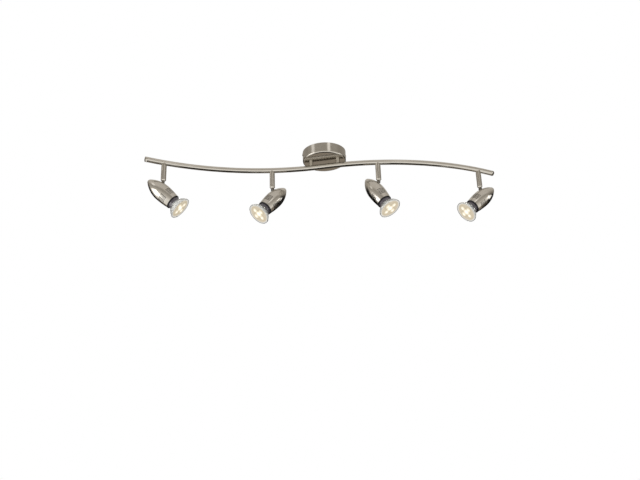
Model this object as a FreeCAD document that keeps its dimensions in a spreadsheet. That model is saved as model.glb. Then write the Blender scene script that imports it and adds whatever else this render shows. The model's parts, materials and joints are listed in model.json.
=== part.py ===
"""Ceiling spotlight bar: an S-shaped round tube under a drum canopy, carrying four
bullet-shaped swivelling and tilting spot heads with reflector lamps.

Frame: millimetres, +Z up.  The origin is the centre of the face that lies against the
ceiling, X runs along the chord of the bar and -Y is the side the heads lean towards.
"""
import FreeCAD, Part
import Sketcher
import math
import os

doc = FreeCAD.newDocument("spot_bar")
Vec = FreeCAD.Vector

# ----------------------------------------------------------------- driving dimensions
SIZES = {
    # canopy and what it hides
    "canopy_diameter": 96.0,
    "canopy_height": 24.0,
    "canopy_wall": 1.2,
    "canopy_edge_round": 3.6,
    "strap_width": 18.0,
    "strap_sheet": 1.6,
    "strap_tab_depth": 14.0,
    "strap_slot_spacing": 54.0,
    "strap_slot_length": 10.0,
    "strap_slot_width": 5.0,
    "cable_hole_radius": 5.0,
    "side_screw_radius": 2.0,
    "side_screw_drop": 8.0,
    "side_screw_head_radius": 3.1,
    "side_screw_head_depth": 1.2,
    "earth_screw_place": -15.0,
    "block_place": 13.5,
    "block_length": 17.0,
    "block_depth": 12.0,
    "way_pitch": 8.0,
    "way_radius": 2.3,
    "way_bore_radius": 1.4,
    "clamp_screw_radius": 1.3,
    "block_screw_radius": 1.4,
    # threaded tubes, their nuts and the two posts
    "nipple_radius": 3.0,
    "nipple_bore_radius": 2.0,
    "nut_wall": 2.0,
    "nut_depth": 3.0,
    "washer_rim": 3.0,
    "washer_depth": 0.8,
    "post_diameter": 9.0,
    "post_length": 5.0,
    "post_spacing": 57.0,
    # bar
    "bar_diameter": 11.5,
    "bar_wall": 1.0,
    "bar_half_chord": 390.0,
    "bar_bow": 36.5,
    "cap_flange": 1.0,
    "cap_crown": 0.8,
    "cap_plug_length": 6.0,
    "inner_spot_place": 114.0,
    "outer_spot_inset": 39.0,
    "bar_nut_wall": 0.9,
    "bar_nut_depth": 3.2,
    "core_radius": 0.8,
    "core_offset": 1.05,
    # stem and knuckle
    "saddle_inset": 0.5,
    "saddle_depth": 1.5,
    "stem_diameter": 11.5,
    "stem_wall": 1.0,
    "stem_top_wall": 2.0,
    "stem_drop": 42.0,
    "nipple_flange_gap": 0.55,
    "nipple_flange_depth": 1.2,
    "knuckle_plug_length": 6.0,
    "knuckle_bevel": 2.2,
    "knuckle_nose_radius": 4.0,
    "tongue_width": 3.6,
    "pivot_pin_radius": 1.25,
    "pivot_eye_wall": 1.25,
    "ear_sheet": 1.4,
    "pivot_head_rim": 1.05,
    "pivot_head_depth": 0.9,
    # spot head, measured along its own axis from the pivot station
    "pivot_sink": 0.1,
    "shade_rear": 26.5,
    "shade_front": 47.4,
    "shade_nose_radius": 6.5,
    "shade_belly": 2.7,
    "shade_widest": 16.5,
    "shade_wall": 1.0,
    "vent_first": 24.0,
    "vent_pitch": 3.1,
    "vent_slot": 1.3,
    "vent_angle": 56.0,
    "disc_place": 6.0,
    "disc_sheet": 1.5,
    "disc_gap": 0.2,
    "collar_insert": 5.0,
    "collar_lip": 1.8,
    "collar_lip_rim": 0.3,
    "collar_wall": 0.8,
    "collar_gap": 0.4,
    "holder_radius": 13.5,
    "holder_length": 17.0,
    "holder_stud_radius": 1.5,
    "lamp_radius": 25.0,
    "lamp_length": 46.6,
    "lamp_housing_length": 31.2,
    "lamp_base_radius": 11.5,
    "lamp_base_length": 8.0,
    "lamp_neck_radius": 14.0,
    "lamp_glass_wall": 1.2,
    "lamp_glass_curve": 40.0,
    "lamp_rim_depth": 2.4,
    "lens_depth": 1.4,
    "lens_recess": 0.9,
    "lens_dome_radius": 6.4,
    "lens_dome_height": 1.6,
    "lens_dome_ring": 11.0,
    "pin_spacing": 10.0,
    "pin_radius": 1.5,
    "pin_length": 7.0,
    "pin_head_radius": 2.5,
    "pin_head_depth": 2.5,
    "lamp_twist": 25.0,
    # clearances
    "fixed_gap": 0.02,
    "plug_gap": 0.08,
    "running_gap": 0.05,
    "turn_gap": 0.1,
    "hole_gap": 0.1,
    "free_gap": 0.3,
    # how each head is turned and tilted down as it hangs (degrees, +X is zero)
    "turn_1": -7.6,
    "turn_2": -160.4,
    "turn_3": -37.9,
    "turn_4": -172.7,
    "tilt_1": 43.5,
    "tilt_2": 48.1,
    "tilt_3": 57.5,
    "tilt_4": 41.5,
}
VENT_GROUPS = 4
VENTS_PER_GROUP = 5
LENS_DOMES = 4

# Sizes that follow from the ones above, so that what fits together stays together.
DERIVED = {
    "pivot_eye_radius": "pivot_pin_radius + pivot_eye_wall",
    "pivot_head_radius": "pivot_pin_radius + pivot_head_rim",
    "pivot_drop": "stem_drop + knuckle_bevel + free_gap + pivot_eye_radius",
    "collar_inner_radius": "lamp_neck_radius + collar_gap",
    "shade_mouth_radius": "collar_inner_radius + collar_wall + shade_wall",
    "collar_lip_radius": "shade_mouth_radius + collar_lip_rim",
    "shade_radius": "shade_mouth_radius + shade_belly",
    "head_offset": "shade_radius - pivot_sink",
    "lamp_back": "disc_place + disc_sheet + holder_length + free_gap",
    "lamp_face": "lamp_back + lamp_length",
    "lamp_glass_start": "lamp_back + lamp_housing_length",
}

sheet = doc.addObject("Spreadsheet::Sheet", "sizes")
for row, (alias, number) in enumerate(SIZES.items(), start=1):
    sheet.set("A%d" % row, alias)
    sheet.set("B%d" % row, str(number))
    sheet.setAlias("B%d" % row, alias)
doc.recompute()


def sized(expression):
    """An expression in alias names, written the way the document reads it."""
    words = ""
    word = ""
    for letter in str(expression) + " ":
        if letter.isalnum() or letter == "_" or letter == ".":
            word += letter
            continue
        if word in DERIVED:
            word = "(%s)" % sized(DERIVED[word])
        elif word in SIZES:
            word = "sizes." + word
        words += word
        words += letter
        word = ""
    return words.strip()


def value(expression):
    """The number an expression has now."""
    answer = sheet.evalExpression(sized(expression))
    return float(getattr(answer, "Value", answer))


def bind(thing, prop, expression):
    thing.setExpression(prop, sized(expression))


# ------------------------------------------------------------------- building helpers
def at(thing, place):
    """Bind the three coordinates of a placement."""
    for axis, expression in zip("xyz", place):
        bind(thing, "Placement.Base." + axis, expression)
    return thing


def cylinder(radius, length, place=("0", "0", "0"), axis=None, sweep="360"):
    """A cylinder from place, along +Z or the given axis."""
    thing = doc.addObject("Part::Cylinder", "round")
    bind(thing, "Radius", radius)
    bind(thing, "Height", length)
    bind(thing, "Angle", sweep)
    if axis:
        thing.Placement.Rotation = FreeCAD.Rotation(Vec(0, 0, 1), Vec(*axis))
    return at(thing, place)


def box(length, width, depth, place):
    """A box whose lowest corner is at place."""
    thing = doc.addObject("Part::Box", "block")
    bind(thing, "Length", length)
    bind(thing, "Width", width)
    bind(thing, "Height", depth)
    return at(thing, place)


def fuse(things):
    joined = doc.addObject("Part::MultiFuse", "joined")
    joined.Shapes = things
    joined.Refine = True
    return joined


def cut(base, tools):
    """Base less every tool."""
    left = doc.addObject("Part::Cut", "cut")
    left.Base = base
    left.Tool = tools[0] if len(tools) == 1 else fuse(tools)
    return left


def gather(things):
    group = doc.addObject("Part::Compound", "group")
    group.Links = things
    return group


def common(one, other):
    both = doc.addObject("Part::Common", "both")
    both.Base = one
    both.Tool = other
    return both


def turned(name, corners, place=("0", "0", "0")):
    """A PartDesign body turned about Z from a closed outline of (radius, height) corners.

    A corner is (radius, height), or (radius, height, bend) where the edge that leaves it
    is an arc of radius |bend|; a positive bend has its centre on the left of the way.
    """
    body = doc.addObject("PartDesign::Body", name)
    sketch = outline(body, name + "_outline", corners)
    turn = body.newObject("PartDesign::Revolution", name + "_turn")
    turn.Profile = sketch
    turn.ReferenceAxis = (sketch, ["V_Axis"])
    turn.Angle = 360
    sketch.Visibility = False
    return at(body, place)


def hollowed(body, name, corners):
    """Take a second turned outline out of a body."""
    sketch = outline(body, name + "_outline", corners)
    doc.recompute()
    before = body.Shape.Volume
    groove = body.newObject("PartDesign::Groove", name + "_groove")
    groove.Profile = sketch
    groove.ReferenceAxis = (sketch, ["V_Axis"])
    groove.Angle = 360
    doc.recompute()
    if body.Shape.Volume >= before:
        raise RuntimeError(name + " cuts nothing")
    return body


def outline(body, name, corners):
    """A closed sketch on the body's XZ plane, every corner and bend bound to the sheet."""
    sketch = body.newObject("Sketcher::SketchObject", name)
    plane = [one for one in body.Origin.OriginFeatures if one.Role == "XZ_Plane"][0]
    sketch.AttachmentSupport = (plane, [""])
    sketch.MapMode = "FlatFace"
    points = [Vec(value(corner[0]), value(corner[1]), 0) for corner in corners]
    ends = []
    for index, corner in enumerate(corners):
        start = points[index]
        end = points[(index + 1) % len(corners)]
        if len(corner) == 2:
            edge = sketch.addGeometry(Part.LineSegment(start, end), False)
            ends.append((edge, 1, 2))
            continue
        bend = value(corner[2])
        edge = sketch.addGeometry(bend_arc(start, end, bend), False)
        ends.append((edge, 1, 2) if bend > 0 else (edge, 2, 1))
        radius = sketch.addConstraint(Sketcher.Constraint("Radius", edge, abs(bend)))
        sketch.setExpression("Constraints[%d]" % radius, "abs(%s)" % sized(corner[2]))
    for index, corner in enumerate(corners):
        edge, first, last = ends[index]
        following = ends[(index + 1) % len(corners)]
        sketch.addConstraint(Sketcher.Constraint("Coincident", edge, last, following[0], following[1]))
        for kind, expression in (("DistanceX", corner[0]), ("DistanceY", corner[1])):
            held = sketch.addConstraint(Sketcher.Constraint(kind, edge, first, value(expression)))
            sketch.setExpression("Constraints[%d]" % held, sized(expression))
    return sketch


def bend_arc(start, end, bend):
    """The arc of radius |bend| from start to end, its centre on the left where bend > 0."""
    chord = end - start
    middle = (start + end) * 0.5
    left = Vec(-chord.y, chord.x, 0).normalize()
    reach = math.sqrt(bend * bend - chord.Length ** 2 / 4)
    centre = middle + left * math.copysign(reach, bend)
    first, last = (start, end) if bend > 0 else (end, start)
    angles = [math.atan2(point.y - centre.y, point.x - centre.x) for point in (first, last)]
    return Part.ArcOfCircle(Part.Circle(centre, Vec(0, 0, 1), abs(bend)), angles[0], angles[1])


def tube(outer, inner, length, place=("0", "0", "0")):
    """A round tube standing on place."""
    bore_place = (place[0], place[1], "%s - 1" % place[2])
    bore = cylinder(inner, "%s + 2" % length, bore_place)
    return cut(cylinder(outer, length, place), [bore])


def prism(flats, length, place):
    """A hexagonal prism standing on place."""
    thing = doc.addObject("Part::Prism", "hexagon")
    thing.Polygon = 6
    bind(thing, "Circumradius", "(%s) / sqrt(3)" % flats)
    bind(thing, "Height", length)
    return at(thing, place)


nodes = {}


def node(name, things, placement=None):
    """Name a finished sub-part: its Label is the name of its file."""
    finished = gather(things)
    finished.Label = name
    if placement:
        finished.Placement = placement
    nodes[name] = finished
    return finished


# ------------------------------------------------------------------ where things stand
BAR_R = "bar_diameter / 2"
BAR_BORE = "(bar_diameter / 2 - bar_wall)"
OUTER_SPOT = "(bar_half_chord - outer_spot_inset)"
BAR_DROP = "(canopy_height + post_length + bar_diameter / 2)"
BOW_RADIUS = "((bar_half_chord ^ 2 / 4 + bar_bow ^ 2) / (2 * bar_bow))"
BOW_ANGLE = "(2 * asin(bar_half_chord / 2 / %s))" % BOW_RADIUS
CANOPY_BORE = "(canopy_diameter / 2 - canopy_wall)"
TAB_FACE = "(sqrt(%s ^ 2 - strap_width ^ 2 / 4) - free_gap)" % CANOPY_BORE
STEM_R = "stem_diameter / 2"
STEM_BORE = "(stem_diameter / 2 - stem_wall)"
STEM_TOP = "(bar_diameter / 2 + saddle_depth + turn_gap)"
HOLDER_BACK = "(disc_place + disc_sheet)"
HOLDER_FACE = "(disc_place + disc_sheet + holder_length)"


def bar_offset(place):
    """How far the middle line of the bar lies off its chord, at a place along X."""
    radius = value(BOW_RADIUS)
    along = abs(place) - value("bar_half_chord") / 2
    bow = math.sqrt(radius ** 2 - along ** 2) - (radius - value("bar_bow"))
    return bow if place < 0 else -bow


def bar_heading(place):
    """The direction of the bar in the plane, in degrees from +X, at a place along X."""
    along = abs(place) - value("bar_half_chord") / 2
    return math.degrees(math.asin(along / value(BOW_RADIUS)))


def on_bar(place):
    """A placement whose origin is on the bar's middle line and whose X runs along it."""
    centre = Vec(place, bar_offset(place), -value(BAR_DROP))
    return FreeCAD.Placement(centre, FreeCAD.Rotation(Vec(0, 0, 1), bar_heading(place)))


POSTS = [-value("post_spacing") / 2, value("post_spacing") / 2]
SPOTS = [
    -value(OUTER_SPOT),
    -value("inner_spot_place"),
    value("inner_spot_place"),
    value(OUTER_SPOT),
]


def standing(things, placements):
    """Copies of one sub-part, one at each placement."""
    copies = []
    for placement in placements:
        copy = gather(things)
        copy.Placement = placement
        copies.append(copy)
    return copies


def bow(side, radius, thickness):
    """Half of the S: an arc of round section, on the -Y side of +X or the +Y side of -X."""
    half = doc.addObject("Part::Torus", "bow")
    bind(half, "Radius1", radius)
    bind(half, "Radius2", thickness)
    bind(half, "Angle3", BOW_ANGLE)
    start = side * -90 - value(BOW_ANGLE) / 2
    half.Placement.Rotation = FreeCAD.Rotation(Vec(0, 0, 1), start)
    centre = (
        "%d * bar_half_chord / 2" % side,
        "%d * (%s - bar_bow)" % (side, BOW_RADIUS),
        "-" + BAR_DROP,
    )
    return at(half, centre)


def s_rod(thickness, sideways="0"):
    """The whole S as a solid rod, its middle line shifted sideways."""
    halves = []
    for side in (-1, 1):
        radius = "%s + %d * (%s)" % (BOW_RADIUS, side, sideways)
        halves.append(bow(side, radius, thickness))
    return fuse(halves)


# ------------------------------------------------------------------------- root pieces
def canopy_cup():
    radius = "canopy_diameter / 2"
    cup = turned("canopy", [
        ("0", "-canopy_height"),
        (radius + " - canopy_edge_round", "-canopy_height", "canopy_edge_round"),
        (radius, "canopy_edge_round - canopy_height"),
        (radius, "0"),
        ("0", "0"),
    ])
    inner_round = "(canopy_edge_round - canopy_wall)"
    floor = "canopy_wall - canopy_height"
    hollowed(cup, "canopy_inside", [
        ("0", floor),
        ("%s - %s" % (CANOPY_BORE, inner_round), floor, inner_round),
        (CANOPY_BORE, "%s + %s" % (floor, inner_round)),
        (CANOPY_BORE, "0"),
        ("0", "0"),
    ])
    holes = []
    for place in POSTS:
        hole = cylinder("nipple_radius + hole_gap", "canopy_wall * 3", ("0", "0", "-canopy_wall"))
        holes += standing([hole], [under_canopy(place)])
    side_hole = cylinder(
        "side_screw_radius + hole_gap", "canopy_diameter * 2",
        ("-canopy_diameter", "0", "-side_screw_drop"), (1, 0, 0),
    )
    node("canopy_cup", [cut(cup, holes + [side_hole])])


def under_canopy(place):
    """A placement over a post, on the underside of the canopy's floor."""
    spot = on_bar(place)
    spot.Base.z = -value("canopy_height")
    return spot


def ceiling_strap():
    """Flat crossbar with two ceiling-screw slots and a downturned tapped tab at each end."""
    plate = box(
        "2 * " + TAB_FACE, "strap_width", "strap_sheet",
        ("-" + TAB_FACE, "-strap_width / 2", "-strap_sheet"),
    )
    pieces = [plate]
    for corner in ("-" + TAB_FACE, TAB_FACE + " - strap_sheet"):
        place = (corner, "-strap_width / 2", "-strap_tab_depth")
        pieces.append(box("strap_sheet", "strap_width", "strap_tab_depth", place))
    through = "strap_sheet * 3"
    below = "-strap_sheet * 2"
    holes = [
        cylinder("cable_hole_radius", through, ("0", "0", below)),
        cylinder("side_screw_radius + fixed_gap", "canopy_diameter * 2",
                 ("-canopy_diameter", "0", "-side_screw_drop"), (1, 0, 0)),
        cylinder("side_screw_radius + fixed_gap", through, ("earth_screw_place", "0", below)),
    ]
    for side in (-1, 1):
        holes.append(strap_slot(side, through, below))
        place = ("block_place", "%d * way_pitch / 2" % side, below)
        holes.append(cylinder("block_screw_radius + fixed_gap", through, place))
    node("ceiling_strap", [cut(fuse(pieces), holes)])


def strap_slot(side, through, below):
    middle = "%d * strap_slot_spacing / 2" % side
    straight = "(strap_slot_length - strap_slot_width)"
    place = ("%s - %s / 2" % (middle, straight), "-strap_slot_width / 2", below)
    pieces = [box(straight, "strap_slot_width", through, place)]
    for end in ("-", "+"):
        place = ("%s %s %s / 2" % (middle, end, straight), "0", below)
        pieces.append(cylinder("strap_slot_width / 2", through, place))
    return fuse(pieces)


def canopy_screws():
    """Two low round-headed screws through the canopy's side into the strap's tabs."""
    screws = []
    for side in (-1, 1):
        way = (side, 0, 0)
        inner = ("%d * (%s - strap_sheet * 2)" % (side, TAB_FACE), "0", "-side_screw_drop")
        outer = ("%d * canopy_diameter / 2" % side, "0", "-side_screw_drop")
        length = "canopy_diameter / 2 - %s + strap_sheet * 2" % TAB_FACE
        shank = cylinder("side_screw_radius", length, inner, way)
        head = cylinder("side_screw_head_radius", "side_screw_head_depth", outer, way)
        slot_corner = "canopy_diameter / 2 + side_screw_head_depth / 2"
        start = slot_corner if side > 0 else "-(%s) - side_screw_head_depth" % slot_corner
        slot = box(
            "side_screw_head_depth", "side_screw_head_radius * 3", "side_screw_head_depth / 2",
            (start, "-side_screw_head_radius * 1.5", "-side_screw_drop - side_screw_head_depth / 4"),
        )
        screws.append(cut(fuse([shank, head]), [slot]))
    node("canopy_screws", screws)


def earth_screw():
    """Earth screw with its washer, up into the strap."""
    under = "-strap_sheet"
    shank = cylinder("side_screw_radius", "strap_sheet + washer_depth", ("earth_screw_place", "0",
                     under + " - washer_depth"))
    washer = cylinder("side_screw_radius * 2", "washer_depth",
                      ("earth_screw_place", "0", under + " - washer_depth"))
    head = cylinder("side_screw_radius * 1.8", "side_screw_radius",
                    ("earth_screw_place", "0", under + " - washer_depth - side_screw_radius"))
    node("earth_screw", [fuse([shank, washer, head])])


def block_ways():
    """The Y places of the terminal block's three ways."""
    return ["-way_pitch", "0", "way_pitch"]


def terminal_block():
    low = "-strap_sheet - block_depth"
    body = box("block_length", "3 * way_pitch", "block_depth",
               ("block_place - block_length / 2", "-1.5 * way_pitch", low))
    middle = "-strap_sheet - block_depth / 2"
    back = "block_place - block_length"
    holes = []
    for way in block_ways():
        holes.append(cylinder("way_radius + fixed_gap", "block_length * 2", (back, way, middle), (1, 0, 0)))
        for end in ("-", "+"):
            place = ("block_place %s block_length / 4" % end, way, low + " - 1")
            holes.append(cylinder("clamp_screw_radius + fixed_gap", "block_depth / 2 + 1", place))
    for side in (-1, 1):
        place = ("block_place", "%d * way_pitch / 2" % side, low + " - 1")
        holes.append(cylinder("block_screw_radius + fixed_gap", "block_depth + 2", place))
    node("terminal_block", [cut(body, holes)])


def terminal_clamps():
    """Brass sleeves in the block, one to each way, tapped for their clamp screws."""
    middle = "-strap_sheet - block_depth / 2"
    sleeves = []
    for way in block_ways():
        start = ("block_place - block_length / 2 + 1", way, middle)
        sleeve = cylinder("way_radius", "block_length - 2", start, (1, 0, 0))
        bore = cylinder("way_bore_radius", "block_length * 2",
                        ("block_place - block_length", way, middle), (1, 0, 0))
        taps = []
        for end in ("-", "+"):
            place = ("block_place %s block_length / 4" % end, way, middle + " - way_radius * 2")
            taps.append(cylinder("clamp_screw_radius + fixed_gap", "way_radius * 2", place))
        sleeves.append(cut(sleeve, [bore] + taps))
    node("terminal_clamps", sleeves)


def terminal_screws():
    low = "-strap_sheet - block_depth + 1"
    screws = []
    for way in block_ways():
        for end in ("-", "+"):
            place = ("block_place %s block_length / 4" % end, way, low)
            length = "block_depth / 2 - 1 - core_radius - fixed_gap"
            screws.append(cylinder("clamp_screw_radius", length, place))
    node("terminal_screws", screws)


def terminal_block_screws():
    """Two screws that hold the block up against the strap."""
    low = "-strap_sheet - block_depth"
    screws = []
    for side in (-1, 1):
        way = "%d * way_pitch / 2" % side
        shank = cylinder("block_screw_radius", "strap_sheet + block_depth", ("block_place", way, low))
        head = cylinder("block_screw_radius * 1.6", "block_screw_radius",
                        ("block_place", way, low + " - block_screw_radius"))
        screws.append(fuse([shank, head]))
    node("terminal_block_screws", screws)


def posts(bar):
    """Round spacers between canopy and bar, coped to sit on the bar."""
    for name, place in zip(("post_left", "post_right"), POSTS):
        sleeve = tube("post_diameter / 2", "nipple_radius + hole_gap",
                      "canopy_height + post_length + %s - canopy_height" % BAR_R)
        lifted = gather([sleeve])
        lifted.Placement = on_bar(place)
        node(name, [cut(lifted, [bar])])


def post_fixings():
    """Threaded tubes that pull the bar up to the canopy, with a washer and nut each."""
    floor = "(%s - canopy_height + canopy_wall)" % BAR_DROP
    stand = "washer_depth + nut_depth + 1"
    start = "(%s - bar_nut_depth)" % BAR_BORE
    nipple = tube("nipple_radius", "nipple_bore_radius",
                  "%s + %s - %s" % (floor, stand, start), ("0", "0", start))
    node("post_nipples", standing([nipple], [on_bar(place) for place in POSTS]))
    washer = tube("nipple_radius + washer_rim", "nipple_radius + hole_gap", "washer_depth", ("0", "0", floor))
    node("post_washers", standing([washer], [on_bar(place) for place in POSTS]))
    seat = ("0", "0", floor + " + washer_depth")
    bore = cylinder("nipple_radius + fixed_gap", "nut_depth * 3", ("0", "0", floor))
    nut = cut(prism("2 * (nipple_radius + nut_wall)", "nut_depth", seat), [bore])
    node("post_nuts", standing([nut], [on_bar(place) for place in POSTS]))


def bar_tube(rod):
    holes = []
    hole = cylinder("nipple_radius + hole_gap", "bar_diameter")
    for place in POSTS:
        holes += standing([hole], [on_bar(place)])
    for place in SPOTS:
        downwards = on_bar(place)
        downwards.Base.z -= value("bar_diameter")
        holes += standing([hole], [downwards])
    node("bar_tube", [cut(rod, [s_rod(BAR_BORE)] + holes)])


def end_caps():
    """A plug with a slightly domed flange in each end of the bar."""
    for name, side in (("end_cap_left", -1), ("end_cap_right", 1)):
        cap = turned(name + "_cap", [
            ("0", "-cap_plug_length"),
            (BAR_BORE + " - plug_gap", "-cap_plug_length"),
            (BAR_BORE + " - plug_gap", "0"),
            (BAR_R, "0"),
            (BAR_R, "cap_flange", "((%s) ^ 2 + cap_crown ^ 2) / (2 * cap_crown)" % BAR_R),
            ("0", "cap_flange + cap_crown"),
        ])
        heading = math.radians(bar_heading(value("bar_half_chord")))
        outwards = Vec(side * math.cos(heading), side * math.sin(heading), 0)
        centre = Vec(side * value("bar_half_chord"), 0, -value(BAR_DROP))
        node(name, [cap], FreeCAD.Placement(centre, FreeCAD.Rotation(Vec(0, 0, 1), outwards)))


def saddles(rod):
    """Spacers coped to the underside of the bar, with a flat seat for each stem."""
    spacer = tube(BAR_R + " - saddle_inset", "nipple_radius + fixed_gap", BAR_R + " + saddle_depth",
                  ("0", "0", "-%s - saddle_depth" % BAR_R))
    node("saddles", [cut(gather(standing([spacer], [on_bar(place) for place in SPOTS])), [rod])])


def stem_nipples():
    """Flanged threaded tubes, up through stem and saddle into the bar."""
    under = "(%s + stem_top_wall + turn_gap)" % STEM_TOP
    top = "(%s - bar_nut_depth)" % BAR_BORE
    shank = cylinder("nipple_radius", "%s + nipple_flange_depth - %s" % (under, top),
                     ("0", "0", "-%s - nipple_flange_depth" % under))
    flange = cylinder(STEM_BORE + " - nipple_flange_gap", "nipple_flange_depth",
                      ("0", "0", "-%s - nipple_flange_depth" % under))
    bore = cylinder("nipple_bore_radius", "%s * 4" % under, ("0", "0", "-%s * 2" % under))
    nipple = cut(fuse([shank, flange]), [bore])
    node("stem_nipples", standing([nipple], [on_bar(place) for place in SPOTS]))


def bar_nuts():
    """Nuts with a rounded face that beds on the inside of the bar's wall."""
    bore_rod = s_rod(BAR_BORE + " - fixed_gap")
    blank = tube("nipple_radius + bar_nut_wall", "nipple_radius + fixed_gap", "bar_nut_depth",
                 ("0", "0", "%s - bar_nut_depth" % BAR_BORE))
    placements = [on_bar(place) for place in POSTS]
    for place in SPOTS:
        flipped = on_bar(place)
        flipped.Rotation = flipped.Rotation.multiply(FreeCAD.Rotation(Vec(1, 0, 0), 180))
        placements.append(flipped)
    node("bar_nuts", [common(gather(standing([blank], placements)), bore_rod)])


def wiring():
    """Two insulated cores: block to post, along the bar, and down the middle of each stem."""
    ends = box("2 * %s + bar_diameter / 2" % OUTER_SPOT, "bar_bow * 4", "bar_diameter",
               ("-%s - bar_diameter / 4" % OUTER_SPOT, "-bar_bow * 2", "-%s - %s" % (BAR_DROP, BAR_R)))
    cores = []
    for side in (-1, 1):
        run = common(s_rod("core_radius", "%d * core_offset" % side), ends)
        foot = "-stem_drop + knuckle_plug_length - 2"
        drop = cylinder("core_radius", "-core_radius - fixed_gap - (%s)" % foot,
                        ("0", "%d * core_offset" % side, foot))
        drops = standing([drop], [on_bar(place) for place in SPOTS])
        cores += [run] + drops + [feed(side)]
    node("wiring", cores)


def feed(side):
    """One core from the left post's bore, over the canopy floor, into its clamp."""
    over_run = value("core_radius + fixed_gap")
    foot = on_bar(POSTS[0]).multVec(Vec(0, side * value("core_offset"), over_run))
    way_height = -value("strap_sheet + block_depth / 2")
    clamp = value("block_place - block_length / 2")
    across = side * value("way_pitch")
    route = [
        foot,
        Vec(foot.x, foot.y, way_height - 4),
        Vec(clamp - 12, across, way_height),
        Vec(clamp + 5, across, way_height),
    ]
    return rounded_run(route, value("core_radius"))


def rounded_run(route, radius):
    """A round core along straight runs joined by tangent arcs."""
    edges = []
    start = route[0]
    for before, corner, after in zip(route, route[1:], route[2:]):
        back = (before - corner)
        on = (after - corner)
        reach = 0.4 * min(back.Length, on.Length)
        back.normalize()
        on.normalize()
        first = corner + back * reach
        last = corner + on * reach
        half = back.getAngle(on) / 2
        bend = reach * math.tan(half)
        inwards = (back + on).normalize()
        middle = corner + inwards * (reach / math.cos(half) - bend)
        edges.append(Part.LineSegment(start, first).toShape())
        edges.append(Part.Arc(first, middle, last).toShape())
        start = last
    edges.append(Part.LineSegment(start, route[-1]).toShape())
    path = Part.Wire(edges)
    section = Part.Wire(Part.makeCircle(radius, route[0], route[1] - route[0]))
    core = doc.addObject("Part::Feature", "core")
    core.Shape = path.makePipeShell([section], True, False)
    return core


# ------------------------------------------------- pieces of a stem, about the bar's axis
def stem_tube():
    length = "stem_drop - " + STEM_TOP
    outside = cylinder(STEM_R, length, ("0", "0", "-stem_drop"))
    inside = cylinder(STEM_BORE, length + " - stem_top_wall + 1", ("0", "0", "-stem_drop - 1"))
    hole = cylinder("nipple_radius + running_gap", "stem_drop", ("0", "0", "-stem_drop"))
    return cut(outside, [inside, hole])


def knuckle():
    """Plug in the stem's foot, bevelled below, with the tongue of the tilting joint."""
    plug = turned("knuckle_plug", [
        ("0", "-stem_drop - knuckle_bevel"),
        ("knuckle_nose_radius", "-stem_drop - knuckle_bevel"),
        (STEM_R, "-stem_drop"),
        (STEM_BORE + " - fixed_gap", "-stem_drop"),
        (STEM_BORE + " - fixed_gap", "-stem_drop + knuckle_plug_length"),
        ("0", "-stem_drop + knuckle_plug_length"),
    ])
    half = "tongue_width / 2"
    neck = box("pivot_eye_radius * 2", "tongue_width", "pivot_drop - stem_drop",
               ("-pivot_eye_radius", "-" + half, "-pivot_drop"))
    eye = cylinder("pivot_eye_radius", "tongue_width", ("0", "-" + half, "-pivot_drop"), (0, 1, 0))
    pin_hole = cylinder("pivot_pin_radius + running_gap", "stem_diameter",
                        ("0", "-" + STEM_R, "-pivot_drop"), (0, 1, 0))
    lead_bore = cylinder("nipple_bore_radius", "knuckle_plug_length",
                         ("0", "0", "-stem_drop + 1"))
    return cut(fuse([plug, neck, eye]), [pin_hole, lead_bore])


# --------------------- pieces of a head, Z along its axis and X = 0 at the shade's middle
def pivot_screw():
    """Shoulder screw through the ears and the knuckle's tongue."""
    reach = "(tongue_width / 2 + turn_gap + ear_sheet)"
    shank = cylinder("pivot_pin_radius", "2 * " + reach, ("-head_offset", "-" + reach, "0"), (0, 1, 0))
    heads = []
    for start in (reach, "-%s - pivot_head_depth" % reach):
        heads.append(cylinder("pivot_head_radius", "pivot_head_depth",
                              ("-head_offset", start, "0"), (0, 1, 0)))
    return fuse([shank] + heads)


def holder_bracket():
    """Disc behind the lampholder with two ears that reach out to the pivot."""
    disc = cylinder("%s - disc_gap" % shade_bore_at("disc_place + disc_sheet / 2"), "disc_sheet",
                    ("0", "0", "disc_place"))
    inner = "(tongue_width / 2 + turn_gap)"
    outer = "(tongue_width / 2 + turn_gap + ear_sheet)"
    foot = "(head_offset - pivot_eye_radius - 1.2)"
    web = box("3", "2 * " + outer, "disc_place + pivot_eye_radius + disc_sheet / 2",
              ("-" + foot, "-" + outer, "-pivot_eye_radius"))
    ears = []
    for start in (inner, "-" + outer):
        ears.append(box("head_offset - %s + 1" % foot, "ear_sheet", "2 * pivot_eye_radius",
                        ("-head_offset", start, "-pivot_eye_radius")))
        ears.append(cylinder("pivot_eye_radius", "ear_sheet", ("-head_offset", start, "0"), (0, 1, 0)))
    holes = [cylinder("pivot_pin_radius + fixed_gap", "4 * " + outer,
                      ("-head_offset", "-2 * " + outer, "0"), (0, 1, 0))]
    for side in (-1, 1):
        holes.append(cylinder("holder_stud_radius + fixed_gap", "disc_sheet * 3",
                              ("0", "%d * holder_radius * 0.7" % side, "disc_place - disc_sheet")))
    holes.append(cylinder("nipple_bore_radius * 1.5", "disc_sheet * 3",
                          ("0", "0", "disc_place - disc_sheet")))
    return cut(fuse([disc, web] + ears), holes)


SHADE_RUN = "(shade_widest + shade_rear - shade_nose_radius)"
OGIVE = "((shade_radius ^ 2 + %s ^ 2 - shade_nose_radius ^ 2) / (2 * (shade_radius - shade_nose_radius)))" % (
    SHADE_RUN)
MOUTH_FALL = "(shade_radius - shade_mouth_radius)"
MOUTH_RUN = "(shade_front - shade_widest)"
MOUTH_CURVE = "((%s ^ 2 + %s ^ 2) / (2 * %s))" % (MOUTH_RUN, MOUTH_FALL, MOUTH_FALL)


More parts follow.
